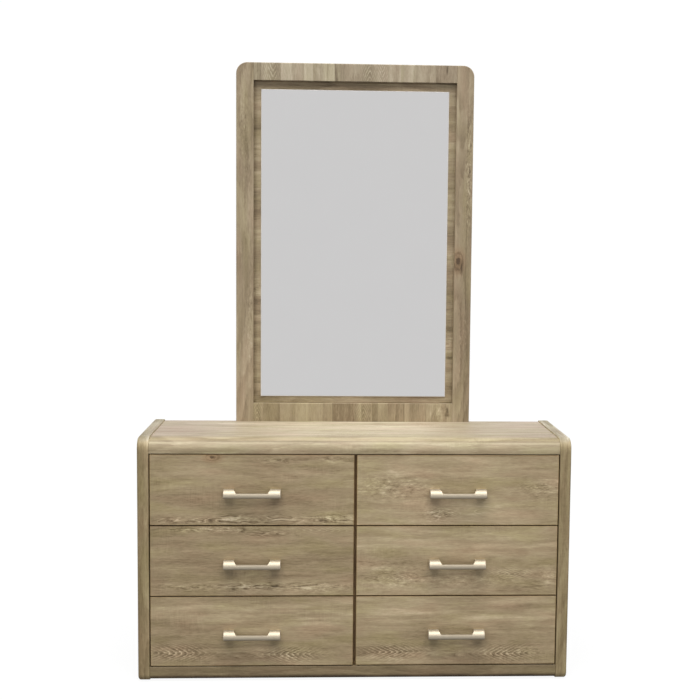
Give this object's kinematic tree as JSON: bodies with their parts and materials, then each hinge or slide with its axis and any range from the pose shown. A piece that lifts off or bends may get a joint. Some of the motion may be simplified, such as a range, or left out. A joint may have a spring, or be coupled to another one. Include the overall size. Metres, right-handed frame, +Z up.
{
  "type": "dresser with mirror",
  "caption": "Low wide chest of drawers with rounded side panels and satin bar pulls, with a tall framed mirror standing along the back of its top.",
  "frame": {"origin": "on the floor, at the centre of the whole object's outline seen from above", "axes": "+Z up; +X to the right seen from the front; the drawer fronts face -Y, so drawers open towards -Y"},
  "size_m": [1.35, 0.453, 1.968],
  "materials": {
    "oak_foil_fronts": "woodgrain foil on board, satin",
    "oak_foil_top": "woodgrain foil on board, satin",
    "oak_foil_sides": "woodgrain foil on board, satin",
    "oak_foil_mirror": "woodgrain foil on board, satin",
    "oak_foil_backing": "woodgrain foil on board, satin",
    "carcass_board": "woodgrain foil on board, satin",
    "drawer_board": "pale woodgrain foil on board, satin",
    "hardboard": "smooth pressed hardboard, matt",
    "pine_batten": "planed softwood, matt",
    "mirror_glass": "silvered float glass",
    "satin_nickel": "satin nickel plate on die-cast zinc",
    "zinc_steel": "bright zinc plate on steel",
    "glide_plastic": "moulded, matt"
  },
  "bodies": {
    "cabinet": {"side_panel_left": "oak_foil_sides", "side_panel_right": "oak_foil_sides", "top_panel": "oak_foil_top", "top_front_rail": "oak_foil_top", "bottom_panel": "carcass_board", "bottom_front_rail": "oak_foil_top", "centre_divider": "carcass_board", "back_panel": "hardboard", "floor_glides": "glide_plastic", "mirror_stile_left": "oak_foil_mirror", "mirror_stile_right": "oak_foil_mirror", "mirror_top_rail": "oak_foil_mirror", "mirror_bottom_rail": "oak_foil_mirror", "mirror_backing_board": "oak_foil_backing", "mirror_glass": "mirror_glass", "mirror_supports": "pine_batten", "mirror_screws": "zinc_steel", "cabinet_slides": "zinc_steel"},
    "drawer_bottom_left": {"drawer_front_bottom_left": "oak_foil_fronts", "drawer_sides_bottom_left": "drawer_board", "drawer_back_bottom_left": "drawer_board", "drawer_bottom_bottom_left": "hardboard", "handle_bottom_left": "satin_nickel", "drawer_slides_bottom_left": "zinc_steel"},
    "slide_middles_bottom_left": {"slide_middles_bottom_left": "zinc_steel"},
    "drawer_bottom_right": {"drawer_front_bottom_right": "oak_foil_fronts", "drawer_sides_bottom_right": "drawer_board", "drawer_back_bottom_right": "drawer_board", "drawer_bottom_bottom_right": "hardboard", "handle_bottom_right": "satin_nickel", "drawer_slides_bottom_right": "zinc_steel"},
    "slide_middles_bottom_right": {"slide_middles_bottom_right": "zinc_steel"},
    "drawer_middle_left": {"drawer_front_middle_left": "oak_foil_fronts", "drawer_sides_middle_left": "drawer_board", "drawer_back_middle_left": "drawer_board", "drawer_bottom_middle_left": "hardboard", "handle_middle_left": "satin_nickel", "drawer_slides_middle_left": "zinc_steel"},
    "slide_middles_middle_left": {"slide_middles_middle_left": "zinc_steel"},
    "drawer_middle_right": {"drawer_front_middle_right": "oak_foil_fronts", "drawer_sides_middle_right": "drawer_board", "drawer_back_middle_right": "drawer_board", "drawer_bottom_middle_right": "hardboard", "handle_middle_right": "satin_nickel", "drawer_slides_middle_right": "zinc_steel"},
    "slide_middles_middle_right": {"slide_middles_middle_right": "zinc_steel"},
    "drawer_top_left": {"drawer_front_top_left": "oak_foil_fronts", "drawer_sides_top_left": "drawer_board", "drawer_back_top_left": "drawer_board", "drawer_bottom_top_left": "hardboard", "handle_top_left": "satin_nickel", "drawer_slides_top_left": "zinc_steel"},
    "slide_middles_top_left": {"slide_middles_top_left": "zinc_steel"},
    "drawer_top_right": {"drawer_front_top_right": "oak_foil_fronts", "drawer_sides_top_right": "drawer_board", "drawer_back_top_right": "drawer_board", "drawer_bottom_top_right": "hardboard", "handle_top_right": "satin_nickel", "drawer_slides_top_right": "zinc_steel"},
    "slide_middles_top_right": {"slide_middles_top_right": "zinc_steel"}
  },
  "joints": [
    {"name": "drawer_bottom_left_slide", "type": "slide", "parent": "cabinet", "child": "drawer_bottom_left", "axis": [0, -1, 0], "range_m": [0, 0.35]},
    {"name": "middle_bottom_left_slide", "type": "slide", "parent": "cabinet", "child": "slide_middles_bottom_left", "axis": [0, -1, 0], "range_m": [0, 0.175]},
    {"name": "drawer_bottom_right_slide", "type": "slide", "parent": "cabinet", "child": "drawer_bottom_right", "axis": [0, -1, 0], "range_m": [0, 0.35]},
    {"name": "middle_bottom_right_slide", "type": "slide", "parent": "cabinet", "child": "slide_middles_bottom_right", "axis": [0, -1, 0], "range_m": [0, 0.175]},
    {"name": "drawer_middle_left_slide", "type": "slide", "parent": "cabinet", "child": "drawer_middle_left", "axis": [0, -1, 0], "range_m": [0, 0.35]},
    {"name": "middle_middle_left_slide", "type": "slide", "parent": "cabinet", "child": "slide_middles_middle_left", "axis": [0, -1, 0], "range_m": [0, 0.175]},
    {"name": "drawer_middle_right_slide", "type": "slide", "parent": "cabinet", "child": "drawer_middle_right", "axis": [0, -1, 0], "range_m": [0, 0.35]},
    {"name": "middle_middle_right_slide", "type": "slide", "parent": "cabinet", "child": "slide_middles_middle_right", "axis": [0, -1, 0], "range_m": [0, 0.175]},
    {"name": "drawer_top_left_slide", "type": "slide", "parent": "cabinet", "child": "drawer_top_left", "axis": [0, -1, 0], "range_m": [0, 0.35]},
    {"name": "middle_top_left_slide", "type": "slide", "parent": "cabinet", "child": "slide_middles_top_left", "axis": [0, -1, 0], "range_m": [0, 0.175]},
    {"name": "drawer_top_right_slide", "type": "slide", "parent": "cabinet", "child": "drawer_top_right", "axis": [0, -1, 0], "range_m": [0, 0.35]},
    {"name": "middle_top_right_slide", "type": "slide", "parent": "cabinet", "child": "slide_middles_top_right", "axis": [0, -1, 0], "range_m": [0, 0.175]}
  ],
  "couplings": [
    {"joint": "middle_bottom_left_slide", "follows": "drawer_bottom_left_slide", "ratio": 0.5},
    {"joint": "middle_bottom_right_slide", "follows": "drawer_bottom_right_slide", "ratio": 0.5},
    {"joint": "middle_middle_left_slide", "follows": "drawer_middle_left_slide", "ratio": 0.5},
    {"joint": "middle_middle_right_slide", "follows": "drawer_middle_right_slide", "ratio": 0.5},
    {"joint": "middle_top_left_slide", "follows": "drawer_top_left_slide", "ratio": 0.5},
    {"joint": "middle_top_right_slide", "follows": "drawer_top_right_slide", "ratio": 0.5}
  ]
}
